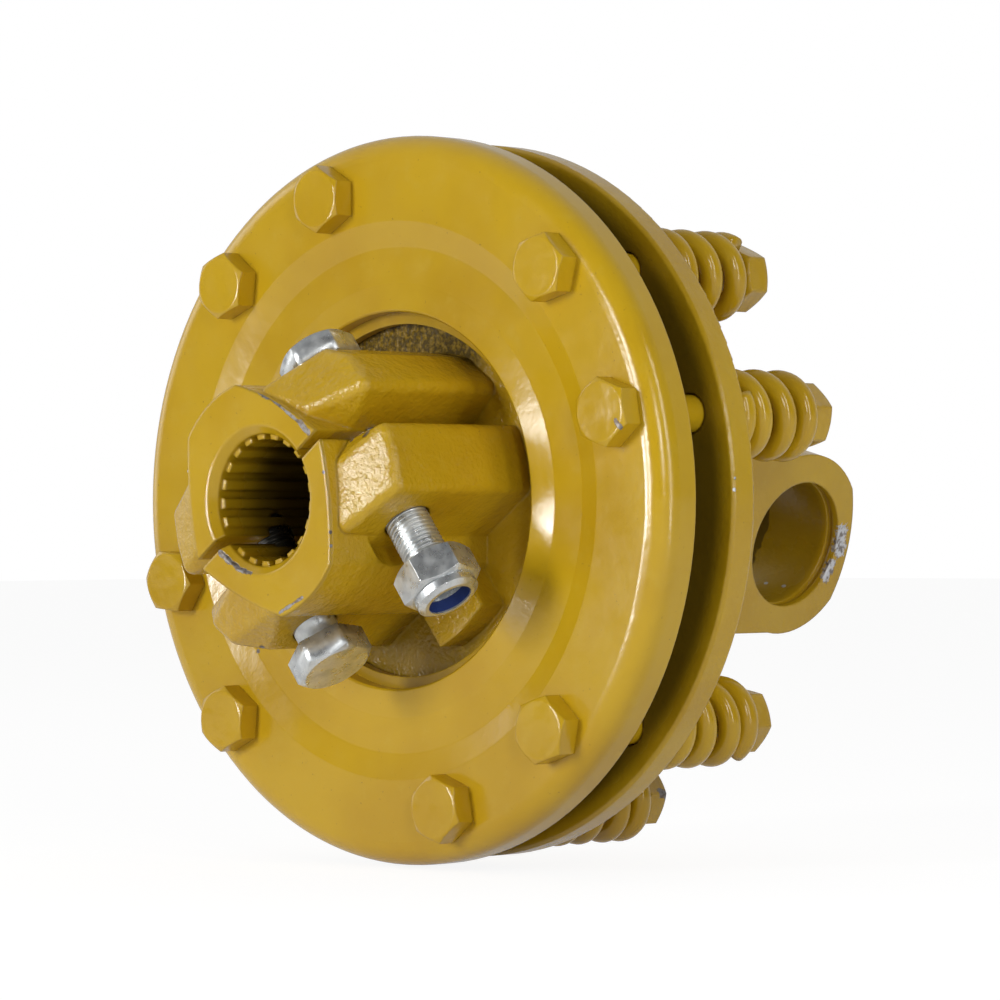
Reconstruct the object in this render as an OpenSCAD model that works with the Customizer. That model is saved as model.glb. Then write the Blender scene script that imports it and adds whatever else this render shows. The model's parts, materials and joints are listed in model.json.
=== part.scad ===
// Spring-loaded friction coupling for a farm drive shaft.
// The shaft runs along Y. The splined hub faces -Y, the fork of the joint faces +Y, Z is up.
// The origin is on the shaft axis, just inside the hub's mouth, where the spline's teeth begin.
// Lengths along the shaft are counted from the hub's front face, and the whole is moved at the end.
// A clock angle is taken clockwise from straight up, as seen from the hub's end.

/* [Hub] */
// Radius of the hub's front face, measured square to the slit
hub_r = 31.6; // [29:0.1:36]
// Half width of the hub's front face, measured along the slit
hub_flat = 28.4; // [27:0.2:30]
// Clock angle of the slit that lets the hub close on the shaft
slit_clock = 53; // [0:1:90]
// Width of the slit
slit_w = 3; // [1:0.5:5]
// Radius over the tips of the spline teeth
spline_tip_r = 16.05; // [14:0.05:16.5]
// Depth of a spline tooth
spline_depth = 1.4; // [0.8:0.1:1.8]
// Number of spline teeth
spline_teeth = 21; // [6:1:24]
// Width and depth of the bevel at the mouth of the bore
mouth_bevel = 2.2; // [1:0.1:3]
// Distance from the slit's middle plane to the seats of the clamp bolts' heads
head_seat = 25.5; // [22:0.5:30]
// Distance from the slit's middle plane to the lugs' faces on the nuts' side
nut_seat = 24; // [22:0.5:30]
// Radius of the lugs' outer sides from the shaft axis
lug_r = 43; // [41:0.5:45]
// Thickness of the hub's flange between the friction discs
flange_t = 5; // [4:0.5:8]

/* [Clamp bolts] */
// Thread size of the clamp bolts
clamp_d = 12; // [10:1:14]
// Gap between the shanks of the clamp bolts and a shaft in the bore
clamp_gap = 0.15; // [0.15:0.05:1]
// Distance of the clamp bolts behind the hub's front face
clamp_y = 23; // [19:1:30]
// Width across the flats of their heads and nuts
clamp_af = 19; // [17:1:22]
// Length of a clamp bolt under its head
clamp_len = 70; // [66:1:84]
// Gap that is still open under the first clamp bolt's nut
nut_gap = 13.5; // [0:0.5:15]
// Gap that is still open under the second clamp bolt's head
head_gap = 6; // [0:0.5:8]

/* [Front plate] */
// Distance from the hub's front face to the face under the bolt heads
plate_y = 48.8; // [46:0.1:56]
// Distance from the bolts' middles to the front plate's rim
rim_w = 13.5; // [12:0.1:16]
// Thickness of the front plate
plate_t = 3.6; // [3:0.1:5]
// Radius of the opening in the front plate
opening_r = 50.9; // [50:0.1:54]
// Depth to which the front plate is pressed back onto the discs
groove_h = 2.2; // [1:0.1:3]
// Middle radius of that groove
groove_r = 63.5; // [61:0.5:67]
// Height of the raised lip round the opening, over the groove
lip_h = 1.15; // [0.5:0.05:2]
// Rounding of the front plate's rim
rim_r = 6.5; // [5:0.5:10]
// Depth of the front plate's rim
rim_depth = 12.4; // [11:0.2:13.4]

/* [Clutch pack] */
// Thickness of a friction disc
disc_t = 3.2; // [3:0.1:4]
// Inner radius of the friction discs
disc_in_r = 47.7; // [46:0.1:49.5]
// Outer radius of the friction discs and of the steel discs between them
disc_out_r = 79.2; // [76:0.1:82]
// Thickness of the steel disc that the bolts drive
mid_t = 2; // [1.6:0.1:3]
// Thickness of the steel disc that the hub drives
inner_t = 3; // [2:0.1:4]
// Radius of the hub's journal in the centring bush
journal_r = 26; // [24:0.5:27]
// Wall of the centring bush
bush_wall = 3; // [2:0.5:4]

/* [Spring bolts] */
// Thread size of the spring bolts
bolt_d = 10; // [8:1:10]
// Gap between the shanks of the spring bolts and the discs inside them
bolt_gap = 0.8; // [0.6:0.1:2]
// Width across the flats of their heads and nuts
bolt_af = 16; // [15:0.5:17]
// Angle between the two bolts of a pair
pair_angle = 30; // [28:0.5:34]
// Wire of a spring
wire_d = 6.2; // [5:0.1:6.4]
// Outer diameter of a spring
spring_d = 24.6; // [23:0.1:26]
// Length of a spring as it is set
spring_len = 32.4; // [29:0.1:38]
// Turns of a spring
spring_turns = 3.5; // [3:0.1:4.2]

/* [Fork] */
// Clock angle of the ear that faces the picture
ear_clock = 105; // [90:1:120]
// Distance from the shaft axis to an ear's outer face
ear_out = 48.6; // [46:0.1:52]
// Distance from the shaft axis to an ear's inner face
ear_in = 14; // [13:0.5:18]
// Thickness of the fork's flange
fork_flange_t = 8.8; // [7:0.1:12]
// Distance from the bolts' middles to the edge of the fork's flange
fork_rim_w = 12.4; // [11:0.1:16]
// Distance from the back of that flange to the axis of the ears' bores
ear_len = 77; // [70:0.5:90]
// Diameter of the bores for the cross bearings
cross_d = 36; // [30:0.1:38]
// Distance between the two snap ring grooves, face to face
cross_len = 89; // [84:0.5:92]
// Half width of an ear
ear_half = 25.6; // [24:0.2:28]
// Distance from the bore axis to the flat end of an ear
ear_end = 23.6; // [22:0.1:26]

/* [Hidden] */
$fn = 96;
eps = 0.01;
run_gap = 0.05;
fit_gap = 0.15;
face_gap = 0.02;

// Radii of the bolts and plates, worked outwards from the discs.
bolt_circle_r = disc_out_r + bolt_d / 2 + bolt_gap;
plate_r = bolt_circle_r + rim_w;
fork_flange_r = bolt_circle_r + fork_rim_w;

// Places along the shaft, from the hub's front face.
mouth_relief = 1;
origin_y = mouth_bevel + mouth_relief + 0.8;
disc_y1 = plate_y + groove_h + plate_t;
flange_y = disc_y1 + disc_t;
disc_y2 = flange_y + flange_t;
mid_y = disc_y2 + disc_t;
disc_y3 = mid_y + mid_t;
inner_y = disc_y3 + disc_t;
disc_y4 = inner_y + inner_t;
rear_y = disc_y4 + disc_t;
rear_back_y = rear_y + fork_flange_t;
spring_end_y = rear_back_y + spring_len;
pin_y = rear_back_y + ear_len;

// Distance of the clamp bolts from the shaft axis.
clamp_off = spline_tip_r + clamp_gap + clamp_d / 2;

// Hub: how far its solids reach along the shaft, and its sections.
spline_root_r = spline_tip_r + spline_depth;
slit_half = slit_w / 2;
side_slant = 28;
side_in = hub_flat - 2.4;
side_r = 100;
lug_round = 3;
first_crown = 15;
second_crown = 10.5;
web_y = flange_y + 1;
slit_end_y = flange_y - 1;
friction_in_r = disc_in_r + 4;
gusset_half = 9.5;
gusset_y = flange_y - 7.8;
dog_count = 6;
dog_r = 41;
dog_root_r = 35;
dog_half = 7;
journal_y = inner_y + inner_t + 1;
journal_len = 14;
hub_end_y = journal_y + journal_len;

// Fasteners: heads and nuts follow the thread size.
spot_r = clamp_af / sqrt(3) + 0.5;
bolt_clear_r = bolt_d / 2 + 0.5;
bolt_head_h = 0.64 * bolt_d;
bolt_nut_h = 0.8 * bolt_d;
clamp_clear_r = clamp_d / 2 + 0.5;
clamp_head_h = 0.625 * clamp_d;
clamp_nut_h = clamp_d;
collar_h = 3.2;
insert_t = 3.2;
insert_z = clamp_nut_h - insert_t - 0.5;
insert_r = clamp_d / 2 + 1.2;
head_turns = [30, 35, 57, 5, 20, 20, 53, 15];
nut_turns = [10, 0, 25, 40, 5, 15, 30, 50];
spring_starts = [167, 346, 196, 235, 60, 120, 300, 20];

// Eight bolts in four pairs. The gaps between the pairs leave room for the fork's ears.
pair_clocks = [60, 150, 240, 330];
bolt_clocks = [for (c = pair_clocks) for (side = [-1, 1]) c + side * pair_angle / 2];
bolts = [0:7];

// Springs: a closed turn at each end, open turns between.
facets_round_wire = 12;
facets_per_turn = 18;
end_turns = 0.6;
end_pitch = 0.6 * wire_d;
end_middle = 0.42 * wire_d;

// Fork.
bush_out_r = journal_r + run_gap + bush_wall;
socket_r = bush_out_r + 0.01;
neck_in_r = 20;
neck_depth = 30;
neck_r = 40;
fork_bottom_y = pin_y - 40;
end_arc_r = 42;
edge_bevel = 0.8;
back_round = 1;
snap_w = 1.85;
snap_depth = 1.1;

paint = [0.74, 0.60, 0.14];
zinc = [0.78, 0.79, 0.80];
steel = [0.50, 0.50, 0.50];
lining = [0.35, 0.30, 0.24];
bronze = [0.66, 0.47, 0.24];
nylon = [0.12, 0.25, 0.55];

// Shapes are drawn along Z, from the hub's front face, and laid along the shaft at the end.
module along_shaft() {
    rotate([-90, 0, 0]) translate([0, 0, -origin_y]) children();
}

// Turns +X to a clock angle and moves out by r.
module at_clock(clock, r = 0) {
    rotate([0, 0, clock - 90]) translate([r, 0, 0]) children();
}

module ring(r_out, r_in, y, h) {
    translate([0, 0, y]) difference() {
        cylinder(r = r_out, h = h);
        translate([0, 0, -1]) cylinder(r = r_in, h = h + 2);
    }
}

// A hexagon prism with its corners turned off at one end or at both.
module hex_body(af, h, both_ends) {
    corner_r = af / sqrt(3);
    face_r = 0.96 * af / 2;
    drop = (corner_r - face_r) * tan(30);
    intersection() {
        cylinder(r = corner_r, h = h, $fn = 6);
        rotate_extrude() polygon([
            [0, 0], [face_r, 0], [corner_r + eps, drop],
            [corner_r + eps, h - drop], [both_ends ? face_r : corner_r + eps, h], [0, h]
        ]);
    }
}

// A hexagon bolt: the head stands below z = 0 and the shank runs up.
module hex_bolt(d, af, head_h, len) {
    tip = 0.09 * d;
    translate([0, 0, -head_h]) hex_body(af, head_h, false);
    translate([0, 0, -eps]) cylinder(d = d, h = len - tip + eps);
    translate([0, 0, len - tip]) cylinder(d1 = d, d2 = d - 2 * tip, h = tip);
}

// Hub.

// Section of the hub's round part: its sides slant towards the slit, its ends are round.
module barrel_section() {
    intersection() {
        circle(r = hub_r);
        intersection_for (turn = [-side_slant, side_slant, 180 - side_slant, 180 + side_slant])
            rotate([0, 0, turn]) translate([side_in - side_r, 0]) circle(r = side_r);
    }
}

// A lug is the skin over balls set just inside its corners, as a casting is rounded.
module lug(balls) {
    hull() for (ball = balls) translate(ball) sphere(r = lug_round, $fn = 20);
}

// Middle of a ball that touches the lugs' round outer side from within.
function at_round(t, z) = [sqrt(pow(lug_r - lug_round, 2) - t * t), t, z];

// The lug on the side of a clamp bolt's head. Its inner side falls away to the slit.
// The crown is the depth of its front edge behind the hub's face.
module head_lug(crown) {
    side = head_seat - lug_round;
    rear = web_y - 1;
    lug([
        [16, side, 6.4],
        [31, side, 15],
        at_round(17, crown),
        at_round(11, crown),
        at_round(7.5, 12.5),
        [hub_flat - 2.9, 10.5, 6.5],
        [hub_flat - 3.4, 4.5, 16],
        [12, side, rear],
        [31, side, rear],
        at_round(17, rear),
        at_round(7.5, rear),
        [hub_flat - 3.4, 4.5, rear],
        [12, 4.5, rear]
    ]);
}

// The lug on the side of a clamp bolt's nut. It stands higher beside the slit.
module nut_lug() {
    side = nut_seat - lug_round;
    rear = web_y - 1;
    lug([
        [18, side, 6],
        at_round(side, 11),
        at_round(14.5, 11),
        at_round(8.5, 11),
        [hub_flat - 4.4, 8.4, 6.9],
        [hub_flat - 4, 3.5, 12],
        [hub_flat - 0.2, 3.5, 22],
        [12, side, rear],
        at_round(side, rear),
        at_round(14.5, rear),
        at_round(8.5, rear),
        [hub_flat - 0.2, 3.5, rear],
        [12, 3.5, rear]
    ]);
}

module lugs() {
    for (turn = [0, 180]) rotate([0, 0, turn]) {
        nut_lug();
        mirror([0, 1, 0]) head_lug(turn == 0 ? first_crown : second_crown);
    }
}

// Two gussets carry the flange between the lugs, as far out as the lugs.
module gussets() {
    intersection() {
        translate([-gusset_half, -lug_r, gusset_y]) cube([2 * gusset_half, 2 * lug_r, web_y - gusset_y + 1]);
        cylinder(r = lug_r, h = web_y + 2);
    }
}

module hub_dogs() {
    intersection() {
        ring(dog_r, dog_root_r - 1, disc_y2 - 1, disc_y4 - disc_y2 + 1);
        for (i = [0:dog_count - 1]) rotate([0, 0, i * 360 / dog_count])
            translate([0, -dog_half, 0]) cube([dog_r + 1, 2 * dog_half, hub_end_y]);
    }
}

module spline_bore() {
    half_step = 90 / spline_teeth;
    translate([0, 0, -1]) cylinder(r = spline_tip_r, h = hub_end_y + 2);
    for (i = [0:spline_teeth - 1]) rotate([0, 0, i * 360 / spline_teeth])
        translate([0, 0, -1]) linear_extrude(height = hub_end_y + 2) polygon([
            [spline_tip_r - 1, -(spline_tip_r - 1) * sin(half_step) * 1.15],
            [spline_root_r, -spline_root_r * sin(half_step) * 0.8],
            [spline_root_r, spline_root_r * sin(half_step) * 0.8],
            [spline_tip_r - 1, (spline_tip_r - 1) * sin(half_step) * 1.15]
        ]);
    translate([0, 0, -eps]) cylinder(r1 = spline_root_r + mouth_bevel, r2 = spline_root_r, h = mouth_bevel);
    translate([0, 0, -eps]) cylinder(r = spline_root_r, h = mouth_bevel + mouth_relief);
    translate([0, 0, hub_end_y - 1.5]) cylinder(r1 = spline_tip_r, r2 = spline_root_r + 0.5, h = 1.5 + eps);
}

// Each clamp bolt's hole, with a spot face in the round part for its head and for its nut.
module clamp_holes() {
    for (turn = [0, 180]) rotate([0, 0, turn]) translate([clamp_off, 0, clamp_y]) {
        rotate([90, 0, 0]) cylinder(r = clamp_clear_r, h = 4 * head_seat, center = true);
        rotate([90, 0, 0]) translate([0, 0, head_seat]) cylinder(r = spot_r, h = head_seat);
        rotate([-90, 0, 0]) translate([0, 0, nut_seat]) cylinder(r = spot_r, h = head_seat);
    }
}

module hub() {
    color(paint) rotate([0, 0, slit_clock - 90]) difference() {
        union() {
            linear_extrude(height = web_y + 1) barrel_section();
            lugs();
            gussets();
            ring(friction_in_r + 1, spline_root_r + 4, web_y, flange_y + flange_t - web_y);
            ring(disc_out_r, friction_in_r, flange_y, flange_t);
            translate([0, 0, web_y]) cylinder(r = dog_root_r, h = disc_y4 - fit_gap - web_y);
            hub_dogs();
            translate([0, 0, web_y]) cylinder(r = journal_r, h = hub_end_y - web_y);
        }
        spline_bore();
        clamp_holes();
        translate([-60, -slit_half, -1]) cube([120, slit_w, slit_end_y + 1]);
    }
}

// Clamp bolts lie across the slit, one on each side of the bore, and point opposite ways.
module across_slit(side) {
    rotate([0, 0, slit_clock - 90]) translate([side * clamp_off, 0, clamp_y]) rotate([-90, 0, 0])
        children();
}

first_head_z = -head_seat;
second_head_z = -head_seat - head_gap;
first_nut_z = nut_seat + nut_gap;
second_nut_z = nut_seat + 1;

module place_clamp_bolt(index) {
    if (index == 1) across_slit(1) translate([0, 0, first_head_z]) children();
    if (index == 2) across_slit(-1) mirror([0, 0, 1]) translate([0, 0, second_head_z]) children();
}

module place_clamp_nut(index) {
    if (index == 1) across_slit(1) translate([0, 0, first_nut_z]) children();
    if (index == 2) across_slit(-1) mirror([0, 0, 1]) translate([0, 0, second_nut_z]) children();
}

module clamp_bolt(index) {
    color(zinc) place_clamp_bolt(index)
        rotate([0, 0, 20]) hex_bolt(clamp_d, clamp_af, clamp_head_h, clamp_len);
}

// A self-locking nut: the hexagon, then a round collar that holds the plastic ring.
module clamp_nut(index) {
    hex_h = clamp_nut_h - collar_h;
    collar_d = 0.9 * clamp_af;
    color(zinc) place_clamp_nut(index) rotate([0, 0, 15]) difference() {
        union() {
            hex_body(clamp_af, hex_h, true);
            translate([0, 0, hex_h - 1]) cylinder(d = collar_d, h = collar_h);
            translate([0, 0, hex_h + collar_h - 1]) cylinder(d1 = collar_d, d2 = 0.82 * collar_d, h = 1);
        }
        translate([0, 0, -1]) cylinder(d = clamp_d, h = clamp_nut_h + 2);
        translate([0, 0, insert_z]) cylinder(r = insert_r, h = insert_t);
    }
}

module nut_insert(index) {
    color(nylon) place_clamp_nut(index)
        ring(insert_r, clamp_d / 2, insert_z, insert_t);
}

// Plates.

module bolt_holes(y) {
    for (clock = bolt_clocks) at_clock(clock, bolt_circle_r)
        translate([0, 0, y]) cylinder(r = bolt_clear_r, h = 2 * fork_flange_t + 2, center = true);
}

// Half section of the front plate: raised lip, groove, flat ring for the bolt heads, round rim.
module front_section() {
    lip_y = groove_h - lip_h;
    flat_in_r = bolt_circle_r - bolt_af / sqrt(3) - 0.5;
    floor_half = 0.2 * (flat_in_r - opening_r);
    edge_r = plate_r - rim_r;
    polygon([
        [opening_r, lip_y + 0.5],
        [opening_r + 0.5, lip_y],
        [groove_r - floor_half, groove_h],
        [groove_r + floor_half, groove_h],
        [flat_in_r, 0],
        [edge_r, 0],
        [edge_r, plate_t],
        [flat_in_r + 2, plate_t],
        [disc_out_r - 2, groove_h + plate_t],
        [opening_r, groove_h + plate_t]
    ]);
    translate([edge_r, rim_r]) intersection() {
        difference() {
            circle(r = rim_r);
            circle(r = rim_r - plate_t);
        }
        translate([0, -rim_r]) square([rim_r, rim_r]);
    }
    translate([plate_r - plate_t, rim_r]) square([plate_t, rim_depth - rim_r]);
}

module front_plate() {
    color(paint) difference() {
        translate([0, 0, plate_y]) rotate_extrude() front_section();
        bolt_holes(plate_y);
    }
}

// Clutch pack.

module friction_disc(y) {
    color(lining) ring(disc_out_r, disc_in_r, y + face_gap, disc_t - 2 * face_gap);
}

// The bolts sit in open notches at the rim of this disc and turn it.
module bolt_driven_disc() {
    color(steel) difference() {
        ring(disc_out_r + 10, disc_in_r, mid_y, mid_t);
        for (clock = bolt_clocks) at_clock(clock, bolt_circle_r) {
            translate([0, 0, mid_y - 1]) cylinder(r = bolt_clear_r, h = mid_t + 2);
            translate([0, -bolt_clear_r, mid_y - 1]) cube([20, 2 * bolt_clear_r, mid_t + 2]);
        }
    }
}

// The hub's dogs sit in the notches of this disc and turn it.
module hub_driven_disc() {
    color(steel) rotate([0, 0, slit_clock - 90]) difference() {
        ring(disc_out_r, dog_root_r + fit_gap, inner_y, inner_t);
        intersection() {
            translate([0, 0, inner_y - 1]) cylinder(r = dog_r + fit_gap, h = inner_t + 2);
            for (i = [0:dog_count - 1]) rotate([0, 0, i * 360 / dog_count])
                translate([0, -dog_half - fit_gap, inner_y - 1])
                    cube([dog_r + 3, 2 * (dog_half + fit_gap), inner_t + 2]);
        }
    }
}

module centring_bush() {
    color(bronze) ring(bush_out_r, journal_r + run_gap, disc_y4 + 1.2, hub_end_y - disc_y4 - 1.2);
}

// Spring bolts, springs and nuts.

module spring_bolt(i) {
    len = spring_end_y + bolt_nut_h - plate_y - 0.4;
    color(paint) at_clock(bolt_clocks[i], bolt_circle_r) translate([0, 0, plate_y])
        rotate([0, 0, head_turns[i]]) hex_bolt(bolt_d, bolt_af, bolt_head_h, len);
}

module spring_nut(i) {
    color(paint) at_clock(bolt_clocks[i], bolt_circle_r) translate([0, 0, spring_end_y])
        rotate([0, 0, nut_turns[i]]) difference() {
            hex_body(bolt_af, bolt_nut_h, true);
            translate([0, 0, -1]) cylinder(d = bolt_d, h = bolt_nut_h + 2);
        }
}

// Height of the wire's middle after a number of turns: nearly closed at both ends, open between.
function coil_z(turns) =
    let (low = end_middle + end_turns * end_pitch,
         high = spring_len - low,
         open_pitch = (high - low) / (spring_turns - 2 * end_turns))
    turns < end_turns ? end_middle + turns * end_pitch
    : turns > spring_turns - end_turns ? spring_len - end_middle - (spring_turns - turns) * end_pitch
    : low + (turns - end_turns) * open_pitch;

function coil_ring(turns, r) =
    [for (k = [0:facets_round_wire - 1])
        let (a = 360 * k / facets_round_wire,
             out = r + wire_d / 2 * cos(a),
             z = coil_z(turns) + wire_d / 2 * sin(a))
        [out * cos(360 * turns), out * sin(360 * turns), min(max(z, 0), spring_len)]];

module coil_spring() {
    r = (spring_d - wire_d) / 2;
    steps = ceil(spring_turns * facets_per_turn);
    rings = [for (s = [0:steps]) coil_ring(s * spring_turns / steps, r)];
    points = [for (ring_points = rings) each ring_points];
    sides = [for (s = [0:steps - 1]) for (k = [0:facets_round_wire - 1])
        let (a = s * facets_round_wire + k, b = s * facets_round_wire + (k + 1) % facets_round_wire)
        [a, a + facets_round_wire, b + facets_round_wire, b]];
    start_cap = [for (k = [0:facets_round_wire - 1]) k];
    end_cap = [for (k = [facets_round_wire - 1:-1:0]) steps * facets_round_wire + k];
    polyhedron(points = points, faces = concat(sides, [start_cap], [end_cap]), convexity = 8);
}

module spring(i) {
    color(paint) at_clock(bolt_clocks[i], bolt_circle_r) translate([0, 0, rear_back_y])
        rotate([0, 0, spring_starts[i]]) coil_spring();
}

// Fork.

// Outline of both ears, seen along the axis of their bores: +X runs along the shaft.
module ear_outline() {
    boss_r = ear_half + 0.4;
    arc_y = pin_y + ear_end - end_arc_r;
    intersection() {
        union() {
            translate([pin_y, 0]) circle(r = boss_r);
            translate([rear_back_y - 1, -ear_half]) square([pin_y - rear_back_y + 1, 2 * ear_half]);
        }
        union() {
            translate([arc_y, 0]) circle(r = end_arc_r);
            translate([rear_back_y - 1, -end_arc_r]) square([arc_y - rear_back_y + 1, 2 * end_arc_r]);
        }
    }
}

// The two ears and what joins them, seen along their width: +X runs along the shaft.
module fork_side() {
    slope_y = pin_y - 34;
    difference() {
        union() {
            translate([slope_y, -ear_out]) square([pin_y + ear_end + 1 - slope_y, 2 * ear_out]);
            polygon([
                [rear_back_y - 1, -neck_r], [rear_back_y + 6, -neck_r], [slope_y, -ear_out],
                [slope_y, ear_out], [rear_back_y + 6, neck_r], [rear_back_y - 1, neck_r]
            ]);
        }
        translate([fork_bottom_y + ear_in, 0]) circle(r = ear_in);
        translate([fork_bottom_y + ear_in, -ear_in]) square([120, 2 * ear_in]);
    }
}

module fork_ears() {
    length = 4 * ear_out;
    intersection() {
        rotate([0, -90, 0]) linear_extrude(height = length, center = true) ear_outline();
        rotate([0, -90, 0]) rotate([90, 0, 0]) linear_extrude(height = length, center = true) fork_side();
    }
}

// Half section of the flange: a crisp edge in front, a rounded one behind, a fillet to the neck.
module flange_section() {
    fillet = 8;
    difference() {
        union() {
            translate([socket_r, 0]) square([fork_flange_r - edge_bevel - socket_r, fork_flange_t]);
            translate([socket_r, edge_bevel])
                square([fork_flange_r - socket_r, fork_flange_t - edge_bevel - back_round]);
            polygon([
                [fork_flange_r - edge_bevel - 1, 0], [fork_flange_r - edge_bevel, 0],
                [fork_flange_r, edge_bevel], [fork_flange_r, edge_bevel + 1]
            ]);
            translate([fork_flange_r - back_round, fork_flange_t - back_round]) circle(r = back_round);
            translate([socket_r, fork_flange_t - 1]) square([neck_r + fillet - socket_r, fillet + 1]);
        }
        translate([neck_r + fillet, fork_flange_t + fillet]) circle(r = fillet);
        translate([fork_flange_r - back_round, fork_flange_t - back_round]) difference() {
            square([back_round + 1, back_round + 1]);
            circle(r = back_round);
        }
    }
}

module flanged_fork() {
    socket_depth = hub_end_y - rear_y + 1;
    color(paint) at_clock(ear_clock) difference() {
        union() {
            fork_ears();
            translate([0, 0, rear_y]) rotate_extrude() flange_section();
            translate([0, 0, rear_y]) cylinder(r = socket_r + 1, h = fork_flange_t);
            translate([0, 0, rear_y]) cylinder(r = neck_r, h = fork_flange_t + 8);
        }
        translate([0, 0, rear_y - 1]) cylinder(r = socket_r, h = socket_depth + 1);
        translate([0, 0, rear_y]) cylinder(r = neck_in_r, h = neck_depth);
        rotate([0, 0, 90 - ear_clock]) bolt_holes(rear_y + fork_flange_t / 2);
        rotate([0, 90, 0]) translate([-pin_y, 0, 0]) cylinder(d = cross_d, h = 200, center = true);
        for (side = [-1, 1]) rotate([0, 90, 0])
            translate([-pin_y, 0, side * (cross_len / 2 + snap_w / 2)])
                cylinder(d = cross_d + 2 * snap_depth, h = snap_w, center = true);
    }
}

along_shaft() hub();
along_shaft() front_plate();
along_shaft() flanged_fork();
along_shaft() centring_bush();
along_shaft() friction_disc(disc_y1);  // friction_disc_1
along_shaft() friction_disc(disc_y2);  // friction_disc_2
along_shaft() friction_disc(disc_y3);  // friction_disc_3
along_shaft() friction_disc(disc_y4);  // friction_disc_4
along_shaft() bolt_driven_disc();
along_shaft() hub_driven_disc();
for (i = bolts) {
    along_shaft() spring_bolt(i);
    along_shaft() spring(i);
    along_shaft() spring_nut(i);
}
for (k = [1, 2]) {
    along_shaft() clamp_bolt(k);
    along_shaft() clamp_nut(k);
    along_shaft() nut_insert(k);
}
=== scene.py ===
"""Looks of the drive shaft coupling: paint, bare metal, smooth springs and threaded clamp bolts.

The shaft runs along Y, the hub faces -Y and Z is up. Lengths are in metres, and those of the coupling are
written as mm times MM. A clock angle is taken clockwise from straight up, as seen from the hub's end.
"""
import json
import math

import bpy
from mathutils import Matrix, Vector

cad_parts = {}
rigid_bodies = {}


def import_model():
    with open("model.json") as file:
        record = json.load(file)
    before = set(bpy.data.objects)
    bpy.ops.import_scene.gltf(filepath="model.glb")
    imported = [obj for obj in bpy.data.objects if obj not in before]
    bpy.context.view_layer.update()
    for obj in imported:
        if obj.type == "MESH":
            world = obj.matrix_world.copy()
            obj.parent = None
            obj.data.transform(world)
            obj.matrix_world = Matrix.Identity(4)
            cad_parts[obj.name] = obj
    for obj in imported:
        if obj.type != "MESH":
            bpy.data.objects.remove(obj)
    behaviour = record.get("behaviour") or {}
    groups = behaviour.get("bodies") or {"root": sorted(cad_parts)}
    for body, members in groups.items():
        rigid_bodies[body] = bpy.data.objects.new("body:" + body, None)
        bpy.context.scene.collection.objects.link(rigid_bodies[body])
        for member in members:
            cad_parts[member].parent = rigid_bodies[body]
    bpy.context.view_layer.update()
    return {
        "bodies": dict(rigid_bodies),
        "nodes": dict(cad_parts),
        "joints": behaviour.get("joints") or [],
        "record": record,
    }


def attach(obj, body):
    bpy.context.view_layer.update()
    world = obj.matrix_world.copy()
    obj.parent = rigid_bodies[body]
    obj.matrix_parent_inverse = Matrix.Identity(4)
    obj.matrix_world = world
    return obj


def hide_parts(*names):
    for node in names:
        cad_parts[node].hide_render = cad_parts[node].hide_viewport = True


MM = 0.001

# Sizes that the pieces made here share with the solids. The hub's front face lies at FACE_Y.
FACE_Y = -4.0 * MM
SPLINE_R = 17.45 * MM
FLANGE_FRONT_Y = FACE_Y + 77.4 * MM
FLANGE_BACK_Y = FACE_Y + 86.2 * MM
BOLT_CIRCLE_R = 85.0 * MM
BOLT_CLOCKS = (45, 75, 135, 165, 225, 255, 315, 345)
FRICTION_DISCS = 4
SLIT_CLOCK = 53
CROSS_AXIS_Y = FACE_Y + 163.2 * MM
CROSS_BORE_R = 18.0 * MM
EAR_CLOCK = 105
EAR_AXIS = (math.sin(math.radians(EAR_CLOCK)), 0.0, math.cos(math.radians(EAR_CLOCK)))

# The springs. end_pitch and first_middle are shares of the wire: how far a closed turn climbs, and how
# high the wire's middle starts. Each of the starts is the clock angle at which one spring's wire begins,
# taken round its bolt from the side that faces away from the shaft.
SPRING = {
    "wire": 6.2 * MM,
    "outer": 24.6 * MM,
    "length": 32.4 * MM,
    "turns": 3.5,
    "end_turns": 0.6,
    "end_pitch": 0.6,
    "first_middle": 0.42,
    "starts": (167, 346, 196, 235, 60, 120, 300, 20),
}
SPRING_EASE_TURNS = 0.12
SPRING_EASE_STEPS = (-1.0, -0.5, 0.0, 0.5, 1.0)
SPRING_STEPS_PER_TURN = 44
SPRING_SIDES = 20

# The clamp bolts. off is their distance from the shaft's axis and thread is the threaded length.
CLAMP = {
    "d": 12.0 * MM,
    "across_flats": 19.0 * MM,
    "head": 7.5 * MM,
    "length": 70.0 * MM,
    "off": 22.2 * MM,
    "y": FACE_Y + 23.0 * MM,
    "pitch": 1.25 * MM,
    "thread": 40.0 * MM,
}
# Each clamp bolt's side of the shaft, and where its head's underside lies along the bolt, from the slit.
CLAMP_BOLTS = (
    (1, -25.5 * MM),
    (-1, -31.5 * MM),
)
# The thread's depth is a share of the pitch. Its slope makes the crests flat; 2 would make them sharp.
THREAD_DEPTH = 0.58
THREAD_SLOPE = 2.5
# The tip's bevel is a share of the diameter, and the head's round face one of the width across the flats.
TIP_BEVEL = 0.09
HEAD_FACE = 0.48
HEAD_CORNER_ANGLE = 30
HEAD_TURN = 20
HEAD_SIDES = 60
SHANK_SIDES = 72
THREAD_ROWS_PER_TURN = 12

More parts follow.
